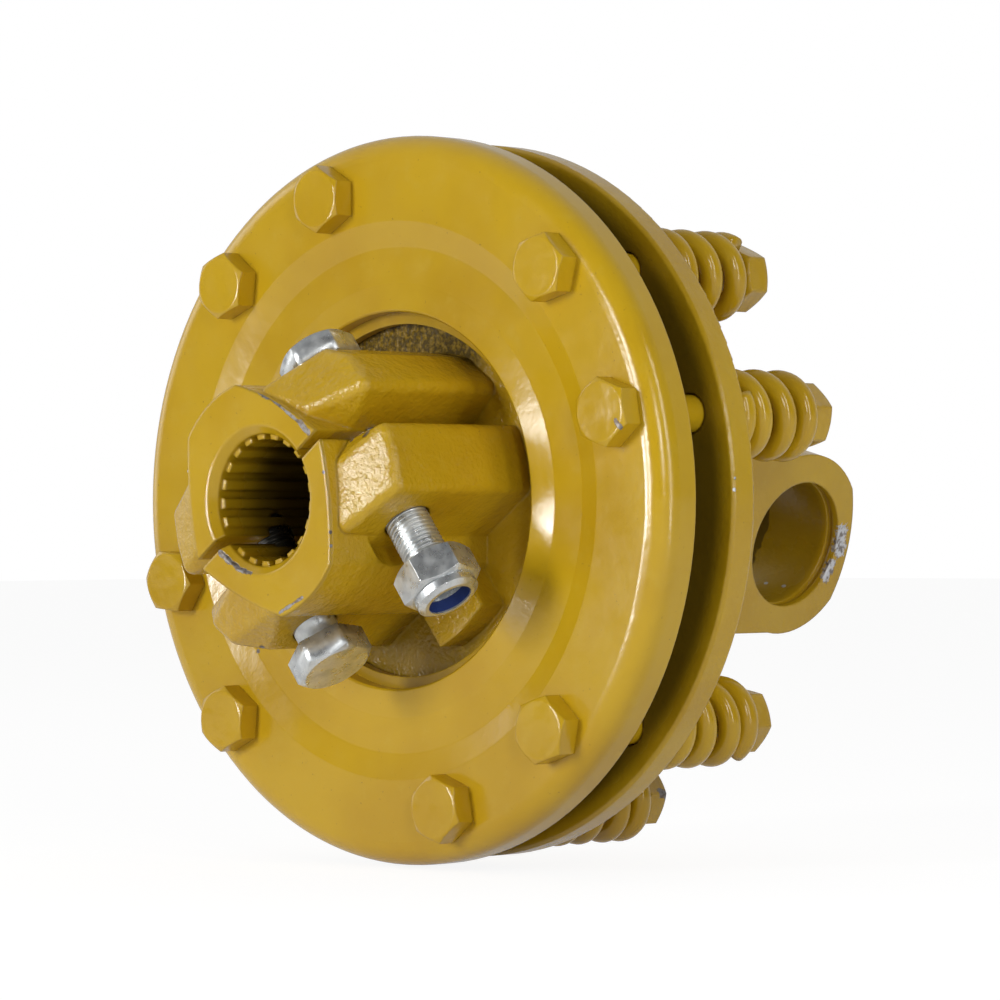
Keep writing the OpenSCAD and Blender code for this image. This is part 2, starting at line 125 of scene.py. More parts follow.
PAINT = (0.53, 0.33, 0.009)
PAINT_DEEP = (0.42, 0.235, 0.004)
PAINT_DUST = (0.54, 0.36, 0.03)
# Painted shade: the dark brown that darkens the paint deep in bores, recesses and gaps.
PAINT_IN_SHADE = (0.055, 0.035, 0.004)
BARE_STEEL = (0.22, 0.205, 0.195)
FRESH_STEEL = (0.62, 0.62, 0.64)
DARK_STEEL = (0.30, 0.29, 0.28)
BRONZE = (0.55, 0.36, 0.16)
BRONZE_STAIN = (0.30, 0.18, 0.08)
ZINC = (0.66, 0.68, 0.68)
ZINC_STAIN = (0.34, 0.36, 0.38)
NYLON = (0.006, 0.022, 0.12)
NYLON_PALE = (0.0208, 0.0496, 0.226)
RUST_BROWN = (0.08, 0.045, 0.018)
# Painted shade on the clamp bolts where they run close to the shaft, inside the bore.
SHANK_SHADE_COLOUR = (0.06, 0.06, 0.05)
FLOOR_WHITE = (0.86, 0.86, 0.85)
WHITE = (1.0, 1.0, 1.0)

# How the paint shines, how lumpy it is, how it looks where shade is painted on it and where it is worn off.
PAINT_ROUGH = (0.15, 0.23)
PEEL_BROAD = 0.06 * MM
PEEL_FINE = 0.024 * MM
SHADE_ROUGHER = 0.20
SPECULAR = 0.5
SHADE_SPECULAR = 0.12
BARE_METALLIC = 0.7
BARE_ROUGHER = 0.22
CHIP_DEPTH = 0.12 * MM
WEAR_REACH = 0.8 * MM

METAL_GRAIN = 0.02 * MM
METAL_SOFT_EDGE = 0.15 * MM
METAL_ROUGH_SPAN = 0.18
NYLON_GRAIN = 0.02 * MM
NYLON_SOFT_EDGE = 0.3 * MM

# Places where steel shows through the paint, in mm: one or two points and the reach of the mark.
HUB_CHIPS = (
    ((24.6, -4.0, 7.0), 0.5),
    ((26.9, -3.8, -8.5), 0.6),
    ((26.9, -3.6, -12.0), 0.5),
    ((31.6, 4.6, 16.8), 1.3),
    ((25.4, 5.6, 15.4), 0.9),
    ((-12.0, 8.7, -38.9), 0.8),
)
HUB_SCRAPES = (
    ((-8.0, -2.8, 29.6), (5.5, -3.9, 26.2), 0.5),
    ((5.5, -4.0, 26.2), (16.0, -4.0, 19.8), 0.45),
    ((16.0, -4.0, 19.8), (19.0, -4.0, 17.4), 0.9),
    ((-14.6, -4.0, -13.8), (-7.3, -3.8, -17.9), 0.9),
    ((-7.3, -3.8, -17.9), (-3.0, -3.8, -19.1), 0.8),
    ((8.0, -4.0, -29.4), (16.5, -3.8, -25.4), 0.5),
)
PLATE_CHIPS = (
    ((-53.8, 47.0, -41.4), 0.7),
    ((97.0, 53.0, 21.0), 0.6),
)
FORK_CHIPS = (
    ((28.3, 168.4, -23.6), 0.7),
    ((34.0, 169.5, -24.4), 0.7),
    ((97.2, 73.9, 13.0), 0.6),
    ((97.4, 74.2, 5.0), 0.5),
    ((97.2, 73.9, 2.0), 0.6),
)
FORK_SCRAPES = (
    ((47.8, 178.8, -9.0), (46.4, 179.2, -14.5), 2.4),
    ((45.4, 177.0, -18.4), (44.6, 175.8, -22.0), 1.9),
)
BOLT_SCRAPES = (
    ((87.8, 38.6, 19.6), (90.0, 38.8, 16.6), 0.8),
)
NUT_SCRAPES = (
    ((30.8, 119.6, -80.6), (30.9, 122.8, -82.2), 1.4),
)

# Where a painted shade, the turned surfaces or the bolts' painted shade begin and where they are full: along
# the shaft (Y), out from it (R), to the right (X), and along the ears' axis from the middle of the cross.
# RECESS_HIGH counts how much further up than to the right a place is, and EAR_DEEP_RAGGED how far that
# shade's edge wanders.
BORE_SHADE_Y = (-2.0 * MM, 16.0 * MM)
BORE_SHADE_R = (SPLINE_R + 0.6 * MM, SPLINE_R)
WEB_SHADE_Y = (46.0 * MM, 53.0 * MM)
RECESS_HIGH = (2.0 * MM, 18.0 * MM)
RECESS_LOW_X = (30.0 * MM, 20.0 * MM)
TURNED_Y = (FACE_Y + 1.2 * MM, FACE_Y + 0.2 * MM)
TURNED_R = (20.5 * MM, 19.5 * MM)
SHANK_SHADE_R = (20.5 * MM, 18.5 * MM)
EAR_DEEP = (27.2 * MM, 26.6 * MM)
EAR_DEEP_RAGGED = 7.0 * MM
EAR_SHADE = (45.0 * MM, 41.5 * MM)
EAR_BORE_R = (CROSS_BORE_R + 0.8 * MM, CROSS_BORE_R)
GAP_Y = (FLANGE_FRONT_Y + 0.6 * MM, FLANGE_FRONT_Y + 0.2 * MM)
GAP_R = (96.8 * MM, 90.0 * MM)
PACK_R = (48.0 * MM, 60.0 * MM)

# The camera: its focal length in widths of the sensor, its angles in degrees and its place in metres.
CAMERA_FOCUS = 4.55404
CAMERA_AZIMUTH = -43.396
CAMERA_LIFT = 0.409
CAMERA_ROLL = -0.283
CAMERA_PLACE = (0.8646, -0.8262, -0.0088)
CAMERA_SENSOR = 36.0
CAMERA_REACH = 50

# Each softbox: name, bearing from -Y towards +X and lift in degrees, distance, width, height and power.
SOFTBOXES = (
    ("front_left_box", -10, 9, 1.6, 0.28, 0.60, 14.0),
    ("front_right_box", 55, 14, 1.6, 0.16, 0.50, 3.8),
    ("far_right_box", 84, 14, 0.6, 0.06, 0.50, 0.9),
    ("left_fill", -76, 14, 1.6, 0.7, 0.9, 3.0),
)
GLINT_BOX = ("glint_box", -16, 1, 0.42, 0.030, 0.15, 0.85)
LIT_POINT = (0, 0.07, 0)

# The room is bright towards the backdrop and dim on the other side.
BACKDROP = (-0.66, 0.71, 0.25)
BACKDROP_START = -0.15
BACKDROP_FULL = 0.6
ROOM_DIM = 0.11
ROOM_BRIGHT = 0.62

# The floor glows a little to the camera and in reflections.
FLOOR_Z = -0.0995
FLOOR_HALF = 6.0
FLOOR_ROUGH = 0.9
FLOOR_SPECULAR = 0.1
FLOOR_GLOW = 1.12
FLOOR_SEEN = 0.80
FLOOR_MIRRORED = 0.40

# Samples of a bevel node, and the colour sockets of a mix node.
BEVEL_SAMPLES = 6
MIX_A = 6
MIX_B = 7
MIX_RESULT = 2


# Node materials.

class Nodes:
    """A node tree under construction, with short calls for the nodes that it needs."""

    def __init__(self, tree):
        self.tree = tree

    def add(self, kind, **settings):
        node = self.tree.nodes.new(kind)
        for key, value in settings.items():
            setattr(node, key, value)
        return node

    def feed(self, socket, value):
        if isinstance(value, bpy.types.NodeSocket):
            self.tree.links.new(value, socket)
        else:
            socket.default_value = value

    def math(self, operation, a, b=0.0, clamp=False):
        node = self.add("ShaderNodeMath", operation=operation, use_clamp=clamp)
        self.feed(node.inputs[0], a)
        self.feed(node.inputs[1], b)
        return node.outputs[0]

    def vector(self, operation, a, b=(0.0, 0.0, 0.0)):
        node = self.add("ShaderNodeVectorMath", operation=operation)
        self.feed(node.inputs[0], a)
        self.feed(node.inputs[1], b)
        return node.outputs["Value" if operation in ("LENGTH", "DISTANCE", "DOT_PRODUCT") else "Vector"]


class Shader(Nodes):
    """A material under construction, whose patterns lie in the object's own space."""

    def __init__(self, name):
        self.material = bpy.data.materials.new(name)
        self.material.use_nodes = True
        super().__init__(self.material.node_tree)
        self.surface = self.tree.nodes["Principled BSDF"]
        self.place = self.add("ShaderNodeTexCoord").outputs["Object"]

    def noise(self, size, detail=2.0, roughness=0.5):
        """Noise whose blotches are about this many metres across."""
        node = self.add("ShaderNodeTexNoise")
        self.feed(node.inputs["Vector"], self.place)
        node.inputs["Scale"].default_value = 1.0 / size
        node.inputs["Detail"].default_value = detail
        node.inputs["Roughness"].default_value = roughness
        return node.outputs["Fac"]

    def ramp(self, value, low, high, to_low=0.0, to_high=1.0):
        """to_low where the value is at low, to_high where it is at high, and a smooth step between."""
        node = self.add("ShaderNodeMapRange", clamp=True)
        node.interpolation_type = "SMOOTHSTEP"
        self.feed(node.inputs["Value"], value)
        node.inputs["From Min"].default_value = low
        node.inputs["From Max"].default_value = high
        node.inputs["To Min"].default_value = to_low
        node.inputs["To Max"].default_value = to_high
        return node.outputs["Result"]

    def blend(self, share, a, b):
        """Colour a where the share is 0 and colour b where it is 1."""
        node = self.add("ShaderNodeMix", data_type="RGBA")
        self.feed(node.inputs["Factor"], share)
        self.feed(node.inputs[MIX_A], a if isinstance(a, bpy.types.NodeSocket) else (*a, 1.0))
        self.feed(node.inputs[MIX_B], b if isinstance(b, bpy.types.NodeSocket) else (*b, 1.0))
        return node.outputs[MIX_RESULT]

    def rounded(self, radius):
        """The surface's direction, with edges rounded by the radius."""
        node = self.add("ShaderNodeBevel", samples=BEVEL_SAMPLES)
        node.inputs["Radius"].default_value = radius
        return node.outputs[0]

    def edge(self, radius):
        """1 on sharp edges, falling to 0 within the radius."""
        soft = self.rounded(radius)
        flat = self.add("ShaderNodeNewGeometry").outputs["Normal"]
        return self.ramp(self.vector("DOT_PRODUCT", soft, flat), 0.995, 0.86)

    def relief(self, layers, soft_edge):
        """Bumps, each a height pattern and its depth in metres, over edges rounded by soft_edge."""
        normal = self.rounded(soft_edge) if soft_edge else None
        for height, depth in layers:
            bump = self.add("ShaderNodeBump")
            bump.inputs["Distance"].default_value = depth
            self.feed(bump.inputs["Height"], height)
            if normal:
                self.feed(bump.inputs["Normal"], normal)
            normal = bump.outputs[0]
        self.feed(self.surface.inputs["Normal"], normal)

    def spot(self, centre, reach, wobble):
        """1 inside a ball round a point, with a ragged edge."""
        distance = self.vector("DISTANCE", self.place, centre)
        shift = self.math("MULTIPLY", self.math("SUBTRACT", wobble, 0.5), reach)
        return self.ramp(self.math("ADD", distance, shift), reach, reach * 0.85)

    def stroke(self, start, end, reach, wobble):
        """1 along a line between two points, with ragged sides."""
        step = tuple(b - a for a, b in zip(start, end))
        length_squared = sum(v * v for v in step)
        away = self.vector("SUBTRACT", self.place, start)
        share = self.math("DIVIDE", self.vector("DOT_PRODUCT", away, step), length_squared, True)
        nearest = self.add("ShaderNodeVectorMath", operation="SCALE")
        nearest.inputs[0].default_value = step
        self.feed(nearest.inputs["Scale"], share)
        distance = self.vector("DISTANCE", away, nearest.outputs[0])
        shift = self.math("MULTIPLY", self.math("SUBTRACT", wobble, 0.5), 2.2 * reach)
        return self.ramp(self.math("ADD", distance, shift), reach, reach * 0.7)

    def coordinates(self):
        """The place along X, Y and Z."""
        split = self.add("ShaderNodeSeparateXYZ")
        self.feed(split.inputs[0], self.place)
        return split.outputs[0], split.outputs[1], split.outputs[2]

    def shaft_radius(self):
        """Distance from the shaft axis."""
        return self.vector("LENGTH", self.vector("MULTIPLY", self.place, (1.0, 0.0, 1.0)))

    def both(self, *masks):
        """The masks multiplied: full only where all of them are."""
        total = masks[0]
        for mask in masks[1:]:
            total = self.math("MULTIPLY", total, mask)
        return total

    def either(self, *masks):
        """The strongest of the masks."""
        total = masks[0]
        for mask in masks[1:]:
            total = self.math("MAXIMUM", total, mask)
        return total


def in_metres(marks):
    """Marks given as points and a reach in mm, turned into metres."""
    turned = []
    for *points, reach in marks:
        turned.append((*(tuple(v * MM for v in point) for point in points), reach * MM))
    return turned


def paint_colour(m):
    """Mustard with deeper blotches, a little dust and rare rusty specks."""
    broad = m.noise(34.0 * MM, 3.0)
    mottle = m.noise(6.0 * MM, 4.0, 0.6)
    colour = m.blend(m.ramp(broad, 0.35, 0.72, 0.0, 0.55), PAINT, PAINT_DEEP)
    colour = m.blend(m.ramp(mottle, 0.54, 0.80, 0.0, 0.35), colour, PAINT_DUST)
    specks = m.ramp(m.noise(1.2 * MM, 2.0, 0.7), 0.71, 0.76)
    return m.blend(m.math("MULTIPLY", specks, 0.4), colour, RUST_BROWN)


def casting_skin(m, smooth_where):
    """Height of the cast metal's skin, flat where the mask smooth_where is full."""
    fine = m.noise(1.2 * MM, 3.0, 0.55)
    skin = m.math("ADD", fine, m.math("MULTIPLY", m.noise(5.0 * MM, 2.0), 1.6))
    if smooth_where:
        skin = m.math("MULTIPLY", skin, m.math("SUBTRACT", 1.0, smooth_where(m)))
    return skin


def worn_places(m, chips, scrapes, wear):
    """Masks of the chips, of the scrapes and of the share of the sharp edges that is worn."""
    ragged = m.noise(1.6 * MM, 4.0, 0.7)
    masks = [m.spot(centre, reach, ragged) for centre, reach in chips]
    masks += [m.stroke(start, end, reach, ragged) for start, end, reach in scrapes]
    if wear:
        edges = m.edge(WEAR_REACH)
        masks.append(m.both(edges, m.ramp(m.noise(9.0 * MM, 4.0, 0.7), 1.0 - wear, 1.02 - wear)))
    return masks


def painted(name, cast=0.0, sag=0.0, soft_edge=0.6 * MM, chips=(), scrapes=(), wear=0.0, steel=BARE_STEEL,
            painted_shade_mask=None, smooth_where=None):
    """Sprayed mustard paint. cast roughens the metal below it and sag makes the paint lumpy.

    chips are points and scrapes are lines where steel shows, each with its reach, all in mm. The shade mask
    and smooth_where take the shader and return masks: where painted shade darkens the paint in bores,
    recesses and gaps, and where no casting skin is left.
    """
    m = Shader(name)
    colour = paint_colour(m)
    rough = m.ramp(m.noise(12.0 * MM, 3.0), 0.3, 0.7, *PAINT_ROUGH)
    # Painted shade: where the mask is full the paint turns dark brown, duller and with less shine.
    if painted_shade_mask:
        share = painted_shade_mask(m)
        colour = m.blend(share, colour, PAINT_IN_SHADE)
        rough = m.math("ADD", rough, m.math("MULTIPLY", share, SHADE_ROUGHER))
        m.feed(m.surface.inputs["Specular IOR Level"], m.ramp(share, 0.0, 0.8, SPECULAR, SHADE_SPECULAR))
    layers = [(m.noise(3.4 * MM), PEEL_BROAD), (m.noise(1.0 * MM, 2.0, 0.6), PEEL_FINE)]
    if cast:
        layers.append((casting_skin(m, smooth_where), cast))
    if sag:
        layers.append((m.noise(7.5 * MM, 2.0, 0.4), sag))
    masks = worn_places(m, in_metres(chips), in_metres(scrapes), wear)
    if masks:
        bare = m.either(*masks)
        stained = m.blend(m.ramp(m.noise(1.3 * MM, 3.0), 0.45, 0.62, 0.0, 0.75), steel, RUST_BROWN)
        colour = m.blend(bare, colour, stained)
        m.feed(m.surface.inputs["Metallic"], m.math("MULTIPLY", bare, BARE_METALLIC))
        rough = m.math("ADD", rough, m.math("MULTIPLY", bare, BARE_ROUGHER))
        layers.append((bare, -CHIP_DEPTH))
    m.feed(m.surface.inputs["Base Color"], colour)
    m.feed(m.surface.inputs["Roughness"], rough)
    m.relief(layers, soft_edge)
    return m.material


def painted_shade_in_hub(m):
    """Painted shade far down the bore and on the web at the bottom of the recess.

    On the web the painted shade is strongest and patchy high up, and weaker to the left.
    """
    across, along, up = m.coordinates()
    out = m.shaft_radius()
    bore = m.both(m.ramp(out, *BORE_SHADE_R), m.ramp(along, *BORE_SHADE_Y, 0.0, 0.92))
    high = m.ramp(m.math("SUBTRACT", up, across), *RECESS_HIGH)
    patchy_shade = m.ramp(m.noise(1.4 * MM, 3.0, 0.6), 0.40, 0.66, 0.95, 0.55)
    low = m.ramp(across, *RECESS_LOW_X, 0.0, 0.40)
    web = m.both(m.ramp(along, *WEB_SHADE_Y), m.either(m.both(high, patchy_shade), low))
    return m.either(bore, web)


def machined_face(m):
    """The hub's front face and its bore are turned."""
    along = m.coordinates()[1]
    return m.either(m.ramp(along, *TURNED_Y), m.ramp(m.shaft_radius(), *TURNED_R))


def painted_shade_in_fork(m):
    """Painted shade on the inner part of the ears' bores and on the flange's face in the gap."""
    along_axis = m.math("ABSOLUTE", m.vector("DOT_PRODUCT", m.place, EAR_AXIS))
    from_centre = m.vector("DISTANCE", m.place, (0.0, CROSS_AXIS_Y, 0.0))
    squared = m.math("SUBTRACT", m.math("POWER", from_centre, 2.0), m.math("POWER", along_axis, 2.0))
    from_axis = m.math("SQRT", squared)
    edge = m.math("ADD", along_axis, m.math("MULTIPLY", m.noise(6.0 * MM), EAR_DEEP_RAGGED))
    deep = m.either(m.ramp(edge, *EAR_DEEP, 0.0, 0.85), m.ramp(along_axis, *EAR_SHADE, 0.0, 0.40))
    bore = m.both(deep, m.ramp(from_axis, *EAR_BORE_R))
    along = m.coordinates()[1]
    gap = m.both(m.ramp(along, *GAP_Y), m.ramp(m.shaft_radius(), *GAP_R, 0.0, 0.8))
    return m.either(bore, gap)


def painted_shade_in_pack(m):
    """Painted shade on the discs' edges between the plates, stronger further out and patchy."""
    depth = m.ramp(m.shaft_radius(), *PACK_R, 0.25, 1.0)
    return m.math("MULTIPLY", depth, m.ramp(m.noise(10.0 * MM, 3.0), 0.35, 0.65, 0.55, 0.85))


def metal(name, colour, stain, rough=0.24, metallic=1.0, shank_shade=None):
    """Bare or plated metal with a fine grain and dull, stained blotches.

    The last argument is a colour of painted shade that it takes on close to the shaft, where the bolts run
    through the bore.
    """
    m = Shader(name)
    patches = m.math("MULTIPLY", m.ramp(m.noise(4.5 * MM, 3.0, 0.6), 0.38, 0.66), 0.55)
    flecks = m.math("MULTIPLY", m.ramp(m.noise(0.7 * MM, 3.0, 0.7), 0.50, 0.72), 0.35)
    plated = m.blend(m.either(patches, flecks), colour, stain)
    # Painted shade on the bolts close to the shaft.
    if shank_shade:
        plated = m.blend(m.ramp(m.shaft_radius(), *SHANK_SHADE_R), plated, shank_shade)
    m.feed(m.surface.inputs["Base Color"], plated)
    m.feed(m.surface.inputs["Metallic"], metallic)
    dull = m.ramp(m.noise(3.0 * MM, 4.0), 0.3, 0.7, rough, rough + METAL_ROUGH_SPAN)
    m.feed(m.surface.inputs["Roughness"], dull)
    grain = [(m.noise(0.6 * MM, 3.0, 0.6), METAL_GRAIN), (m.noise(4.0 * MM), METAL_GRAIN * 1.5)]
    m.relief(grain, METAL_SOFT_EDGE)
    return m.material


def plastic(name, colour, pale):
    """Plastic in two shades, with a fine grain."""
    m = Shader(name)
    m.feed(m.surface.inputs["Base Color"], m.blend(m.noise(2.0 * MM, 3.0), colour, pale))
    m.feed(m.surface.inputs["Roughness"], m.ramp(m.noise(1.0 * MM), 0.3, 0.7, 0.38, 0.52))
    m.relief([(m.noise(0.5 * MM), NYLON_GRAIN)], NYLON_SOFT_EDGE)
    return m.material


# Meshes.

def new_piece(name, points, faces, material, smooth=True):
    mesh = bpy.data.meshes.new(name)
    mesh.from_pydata(points, [], faces)
    mesh.materials.append(material)
    for face in mesh.polygons:
        face.use_smooth = smooth
    mesh.update()
    piece = bpy.data.objects.new(name, mesh)
    bpy.context.scene.collection.objects.link(piece)
    return piece


def stitch(rings):
    """Faces between rings of equally many points, and one at each end."""
    count = len(rings[0])
    faces = []
    for row in range(len(rings) - 1):
        for k in range(count):
            a = row * count + k
            b = row * count + (k + 1) % count
            faces.append((a, b, b + count, a + count))
    faces.append(tuple(reversed(range(count))))
    last = (len(rings) - 1) * count
    faces.append(tuple(range(last, last + count)))
    return faces


def at_clock(clock, r, y):
    angle = math.radians(clock)
    return Vector((r * math.sin(angle), y, r * math.cos(angle)))


def coil_height(turns):
    """Height of the wire's middle: closed turns at both ends, open turns between."""
    end_turns = SPRING["end_turns"]
    end_pitch = SPRING["end_pitch"] * SPRING["wire"]
    middle = SPRING["first_middle"] * SPRING["wire"]
    low = middle + end_turns * end_pitch
    high = SPRING["length"] - low
    if turns < end_turns:
        return middle + turns * end_pitch
    if turns > SPRING["turns"] - end_turns:
        return SPRING["length"] - middle - (SPRING["turns"] - turns) * end_pitch
    share = (turns - end_turns) / (SPRING["turns"] - 2 * end_turns)
    return low + share * (high - low)


def eased_height(turns):
    """The same, with the corners between closed and open turns eased."""
    total = 0.0
    for step in SPRING_EASE_STEPS:
        near = min(max(turns + step * SPRING_EASE_TURNS, 0.0), SPRING["turns"])
        total += coil_height(near)
    return total / len(SPRING_EASE_STEPS)


def spring_piece(index, material):
    """A coil between the flange and its nut, its ends ground flat."""
    wire_r = SPRING["wire"] / 2
    r = (SPRING["outer"] - SPRING["wire"]) / 2
    steps = int(SPRING["turns"] * SPRING_STEPS_PER_TURN)
    centre = at_clock(BOLT_CLOCKS[index], BOLT_CIRCLE_R, FLANGE_BACK_Y)
    # The angle below runs from +X, a quarter turn behind the clock angle.
    start = SPRING["starts"][index] + BOLT_CLOCKS[index] - 90
    rings = []
    for step in range(steps + 1):
        turns = SPRING["turns"] * step / steps
        middle = eased_height(turns)
        turn = math.radians(start + 360 * turns)
        ring = []
        for k in range(SPRING_SIDES):
            a = 2 * math.pi * k / SPRING_SIDES
            out = r + wire_r * math.cos(a)
            up = min(max(middle + wire_r * math.sin(a), 0.0), SPRING["length"])
            ring.append(centre + Vector((out * math.cos(turn), up, -out * math.sin(turn))))
        rings.append(ring)
    points = [p for ring in rings for p in ring]
    piece = new_piece("coil_%d" % (index + 1), points, stitch(rings), material)
    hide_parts("spring_%d" % (index + 1))
    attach(piece, "fork_side")


def clamp_frame(side, head):
    """Turns a bolt drawn along +Z into place across the slit."""
    slit = math.radians(SLIT_CLOCK)
    along = Vector((math.sin(slit), 0, math.cos(slit)))
    across = Vector((math.cos(slit), 0, -math.sin(slit)))
    shaft = Vector((0, 1, 0))
    direction = across * side
    third = direction.cross(along)
    turn = Matrix((along, third, direction)).transposed().to_4x4()
    turn.translation = along * (side * CLAMP["off"]) + shaft * CLAMP["y"] + direction * head
    return turn


def thread_radius(height, angle):
    """Radius of a thread with flat crests, which grows to its full depth over the first turn."""
    phase = (height / CLAMP["pitch"] - angle / (2 * math.pi)) % 1.0
    ridge = min(1.0, max(0.0, THREAD_SLOPE * (0.5 - abs(phase - 0.5))))
    start = CLAMP["length"] - CLAMP["thread"]
    run_in = min(1.0, max(0.0, (height - start) / CLAMP["pitch"]))
    depth = THREAD_DEPTH * CLAMP["pitch"]
    return CLAMP["d"] / 2 - depth * (1 - ridge) * run_in


def shank_rows():
    """Rings of points from the head to the tip: a plain part, the thread and the tip's bevel."""
    bevel_start = CLAMP["length"] - TIP_BEVEL * CLAMP["d"]
    start = CLAMP["length"] - CLAMP["thread"]
    heights = [0.0, start / 2, start]
    count = int(CLAMP["thread"] / CLAMP["pitch"] * THREAD_ROWS_PER_TURN)
    heights += [start + CLAMP["thread"] * i / count for i in range(1, count + 1)]
    rows = []
    for height in heights:
        bevel_r = CLAMP["d"] / 2 - max(0.0, height - bevel_start)
        ring = []
        for k in range(SHANK_SIDES):
            a = 2 * math.pi * k / SHANK_SIDES
            r = min(thread_radius(height, a), bevel_r)
            ring.append(Vector((r * math.cos(a), r * math.sin(a), height)))
        rows.append(ring)
    return rows


def add_head(points, faces, turn):
    """Adds a hexagon head below z = 0, its first corner at the angle turn, its corners turned off on top."""
    base = len(points)
    face_r = HEAD_FACE * CLAMP["across_flats"]
    corner_cut = math.tan(math.radians(HEAD_CORNER_ANGLE))
    rows = [[], [], []]
    for k in range(HEAD_SIDES):
        from_corner = 2 * math.pi * k / HEAD_SIDES
        from_flat = math.pi / 6 - (from_corner % (math.pi / 3))
        r = CLAMP["across_flats"] / 2 / math.cos(from_flat)
        a = turn + from_corner
        rows[0].append(Vector((r * math.cos(a), r * math.sin(a), 0.0)))
        rows[1].append(Vector((r * math.cos(a), r * math.sin(a), (r - face_r) * corner_cut - CLAMP["head"])))
        rows[2].append(Vector((face_r * math.cos(a), face_r * math.sin(a), -CLAMP["head"])))
    for row in rows:
        points.extend(row)
    for row in range(len(rows) - 1):
        for k in range(HEAD_SIDES):
            a = base + row * HEAD_SIDES + k
            b = base + row * HEAD_SIDES + (k + 1) % HEAD_SIDES
            faces.append((a, a + HEAD_SIDES, b + HEAD_SIDES, b))
    faces.append(tuple(range(base, base + HEAD_SIDES)))
    last = base + (len(rows) - 1) * HEAD_SIDES
    faces.append(tuple(reversed(range(last, last + HEAD_SIDES))))


def clamp_bolt_piece(index, side, head, material):
    """A bolt with a cut thread and a hexagon head, smooth only along its shank."""
    frame = clamp_frame(side, head)
    rows = shank_rows()
    points = [p for row in rows for p in row]
    faces = stitch(rows)
    add_head(points, faces, math.radians(HEAD_TURN * side))
    piece = new_piece("threaded_bolt_%d" % index, [frame @ p for p in points], faces, material, False)
    for face in piece.data.polygons:
        face.use_smooth = len(face.vertices) == 4 and face.index < len(rows) * SHANK_SIDES
    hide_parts("clamp_bolt_%d" % index)
    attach(piece, "hub_side")


# Studio.

def camera():
    azimuth, lift, roll = (math.radians(v) for v in (CAMERA_AZIMUTH, CAMERA_LIFT, CAMERA_ROLL))
    ahead = Vector((math.sin(azimuth) * math.cos(lift), math.cos(azimuth) * math.cos(lift), math.sin(lift)))
    level = ahead.cross(Vector((0, 0, 1))).normalized()
    above = level.cross(ahead)
    right = level * math.cos(roll) + above * math.sin(roll)
    up = above * math.cos(roll) - level * math.sin(roll)
    turn = Matrix((right, up, -ahead)).transposed().to_4x4()
    turn.translation = Vector(CAMERA_PLACE)
    data = bpy.data.cameras.new("camera")
    data.sensor_width = CAMERA_SENSOR
    data.lens = CAMERA_FOCUS * CAMERA_SENSOR
    data.clip_end = CAMERA_REACH
    view = bpy.data.objects.new("camera", data)
    view.matrix_world = turn
    bpy.context.scene.collection.objects.link(view)
    bpy.context.scene.camera = view


def softbox(name, bearing, lift, distance, width, height, power):
    """An area light at a bearing taken from -Y towards +X, aimed at the coupling's middle."""
    data = bpy.data.lights.new(name, "AREA")
    data.shape = "RECTANGLE"
    data.size = width
    data.size_y = height
    data.energy = power
    light = bpy.data.objects.new(name, data)
    b, e = math.radians(bearing), math.radians(lift)
    away = Vector((math.sin(b) * math.cos(e), -math.cos(b) * math.cos(e), math.sin(e)))
    light.location = Vector(LIT_POINT) + away * distance
    light.rotation_euler = away.to_track_quat("Z", "Y").to_euler()
    light.visible_camera = False
    bpy.context.scene.collection.objects.link(light)
    return light


def lights():
    """The softboxes, and a small one that adds a glint but no diffuse light."""
    for box in SOFTBOXES:
        softbox(*box)
    glint = softbox(*GLINT_BOX)
    glint.visible_diffuse = False


def room():
    """A world that brightens towards the backdrop, and that the camera sees as plain white."""
    world = bpy.data.worlds.new("studio")
    world.use_nodes = True
    nodes = Nodes(world.node_tree)
    background = world.node_tree.nodes["Background"]
    background.inputs["Color"].default_value = (*WHITE, 1.0)
    place = nodes.add("ShaderNodeTexCoord").outputs["Generated"]
    toward = nodes.vector("DOT_PRODUCT", place, BACKDROP)
    gradient = nodes.add("ShaderNodeMapRange")
    nodes.feed(gradient.inputs["Value"], toward)
    gradient.inputs["From Min"].default_value = BACKDROP_START
    gradient.inputs["From Max"].default_value = BACKDROP_FULL
    gradient.inputs["To Min"].default_value = ROOM_DIM
    gradient.inputs["To Max"].default_value = ROOM_BRIGHT
    path = nodes.add("ShaderNodeLightPath")
    strength = nodes.math("MAXIMUM", gradient.outputs["Result"], path.outputs["Is Camera Ray"])
    nodes.feed(background.inputs["Strength"], strength)
    bpy.context.scene.world = world


def floor():
    """A wide pale floor, brighter to the camera and in reflections than its own colour."""
    m = Shader("pale_floor")
    m.feed(m.surface.inputs["Base Color"], (*FLOOR_WHITE, 1.0))
    m.feed(m.surface.inputs["Roughness"], FLOOR_ROUGH)
    m.feed(m.surface.inputs["Specular IOR Level"], FLOOR_SPECULAR)
    glow = m.add("ShaderNodeEmission")
    glow.inputs["Color"].default_value = (*WHITE, 1.0)
    glow.inputs["Strength"].default_value = FLOOR_GLOW
    path = m.add("ShaderNodeLightPath")
    mirrored = m.math("MULTIPLY", path.outputs["Is Glossy Ray"], FLOOR_MIRRORED)
    share = m.either(m.math("MULTIPLY", path.outputs["Is Camera Ray"], FLOOR_SEEN), mirrored)
    mix = m.add("ShaderNodeMixShader")
    m.feed(mix.inputs[0], share)
    m.feed(mix.inputs[1], m.surface.outputs[0])
    m.feed(mix.inputs[2], glow.outputs[0])
    m.feed(m.tree.nodes["Material Output"].inputs["Surface"], mix.outputs[0])
    signs = ((-1, -1), (1, -1), (1, 1), (-1, 1))
    corners = [Vector((x * FLOOR_HALF, y * FLOOR_HALF, FLOOR_Z)) for x, y in signs]
    ground = new_piece("floor", corners, [(0, 1, 2, 3)], m.material, False)


# Dressing the solids.

def dress(nodes, names, material):
    for name in names:
        mesh = nodes[name].data
        mesh.materials.clear()
        mesh.materials.append(material)


def numbered(stem, count):
    return ["%s_%d" % (stem, i) for i in range(1, count + 1)]


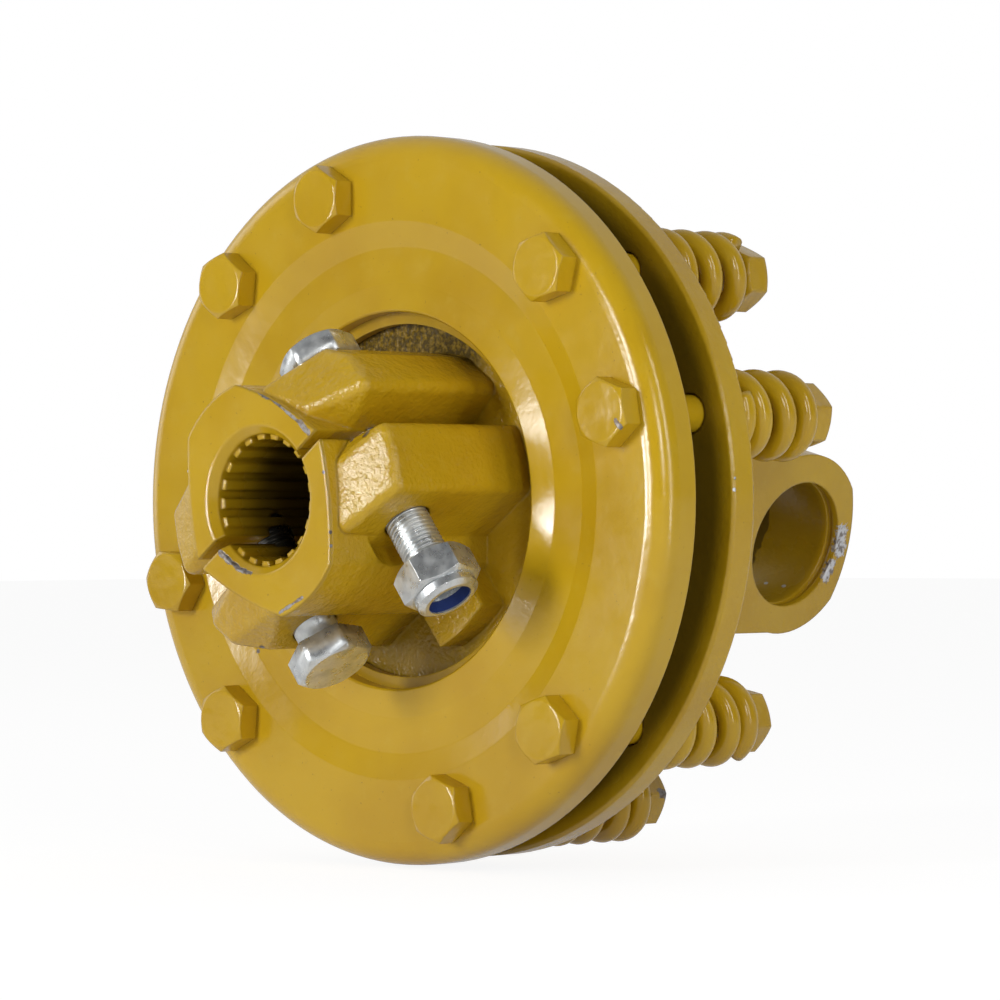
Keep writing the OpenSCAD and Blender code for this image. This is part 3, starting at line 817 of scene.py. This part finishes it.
def main():
    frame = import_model()
    nodes = frame["nodes"]
    bolts = len(BOLT_CLOCKS)
    clamps = len(CLAMP_BOLTS)

    camera()
    lights()
    room()
    floor()

    plate_paint = painted("plate_paint", chips=PLATE_CHIPS)
    cast_paint = painted("cast_paint", cast=0.36 * MM, soft_edge=1.2 * MM, chips=HUB_CHIPS,
                         scrapes=HUB_SCRAPES, wear=0.30, painted_shade_mask=painted_shade_in_hub, smooth_where=machined_face)
    fork_paint = painted("fork_paint", cast=0.12 * MM, soft_edge=1.0 * MM, chips=FORK_CHIPS,
                         scrapes=FORK_SCRAPES, steel=FRESH_STEEL, painted_shade_mask=painted_shade_in_fork)
    pack_paint = painted("pack_paint", painted_shade_mask=painted_shade_in_pack)
    bolt_paint = painted("bolt_paint", sag=0.5 * MM, soft_edge=0.7 * MM, scrapes=BOLT_SCRAPES)
    spring_paint = painted("spring_paint", soft_edge=0.0)
    nut_paint = painted("nut_paint", sag=0.7 * MM, soft_edge=1.6 * MM, scrapes=NUT_SCRAPES)
    # The clamp bolts get painted shade where they run close to the shaft.
    zinc = metal("clear_zinc", ZINC, ZINC_STAIN, metallic=0.85, shank_shade=SHANK_SHADE_COLOUR)
    steel = metal("dark_steel", DARK_STEEL, RUST_BROWN, rough=0.4)
    bronze = metal("bronze", BRONZE, BRONZE_STAIN, rough=0.35)
    nylon = plastic("nylon", NYLON, NYLON_PALE)

    dress(nodes, ["hub"], cast_paint)
    dress(nodes, ["front_plate"], plate_paint)
    dress(nodes, ["flanged_fork"], fork_paint)
    dress(nodes, ["centring_bush"], bronze)
    dress(nodes, numbered("friction_disc", FRICTION_DISCS), pack_paint)
    dress(nodes, ["bolt_driven_disc"], pack_paint)
    dress(nodes, ["hub_driven_disc"], steel)
    dress(nodes, numbered("spring_bolt", bolts), bolt_paint)
    dress(nodes, numbered("spring_nut", bolts), nut_paint)
    dress(nodes, numbered("spring", bolts), spring_paint)
    dress(nodes, numbered("clamp_bolt", clamps), zinc)
    dress(nodes, numbered("clamp_nut", clamps), zinc)
    dress(nodes, numbered("nut_insert", clamps), nylon)

    for index in range(bolts):
        spring_piece(index, spring_paint)
    for index, (side, head) in enumerate(CLAMP_BOLTS, 1):
        clamp_bolt_piece(index, side, head, zinc)

    bpy.context.scene.view_settings.view_transform = "Standard"


main()
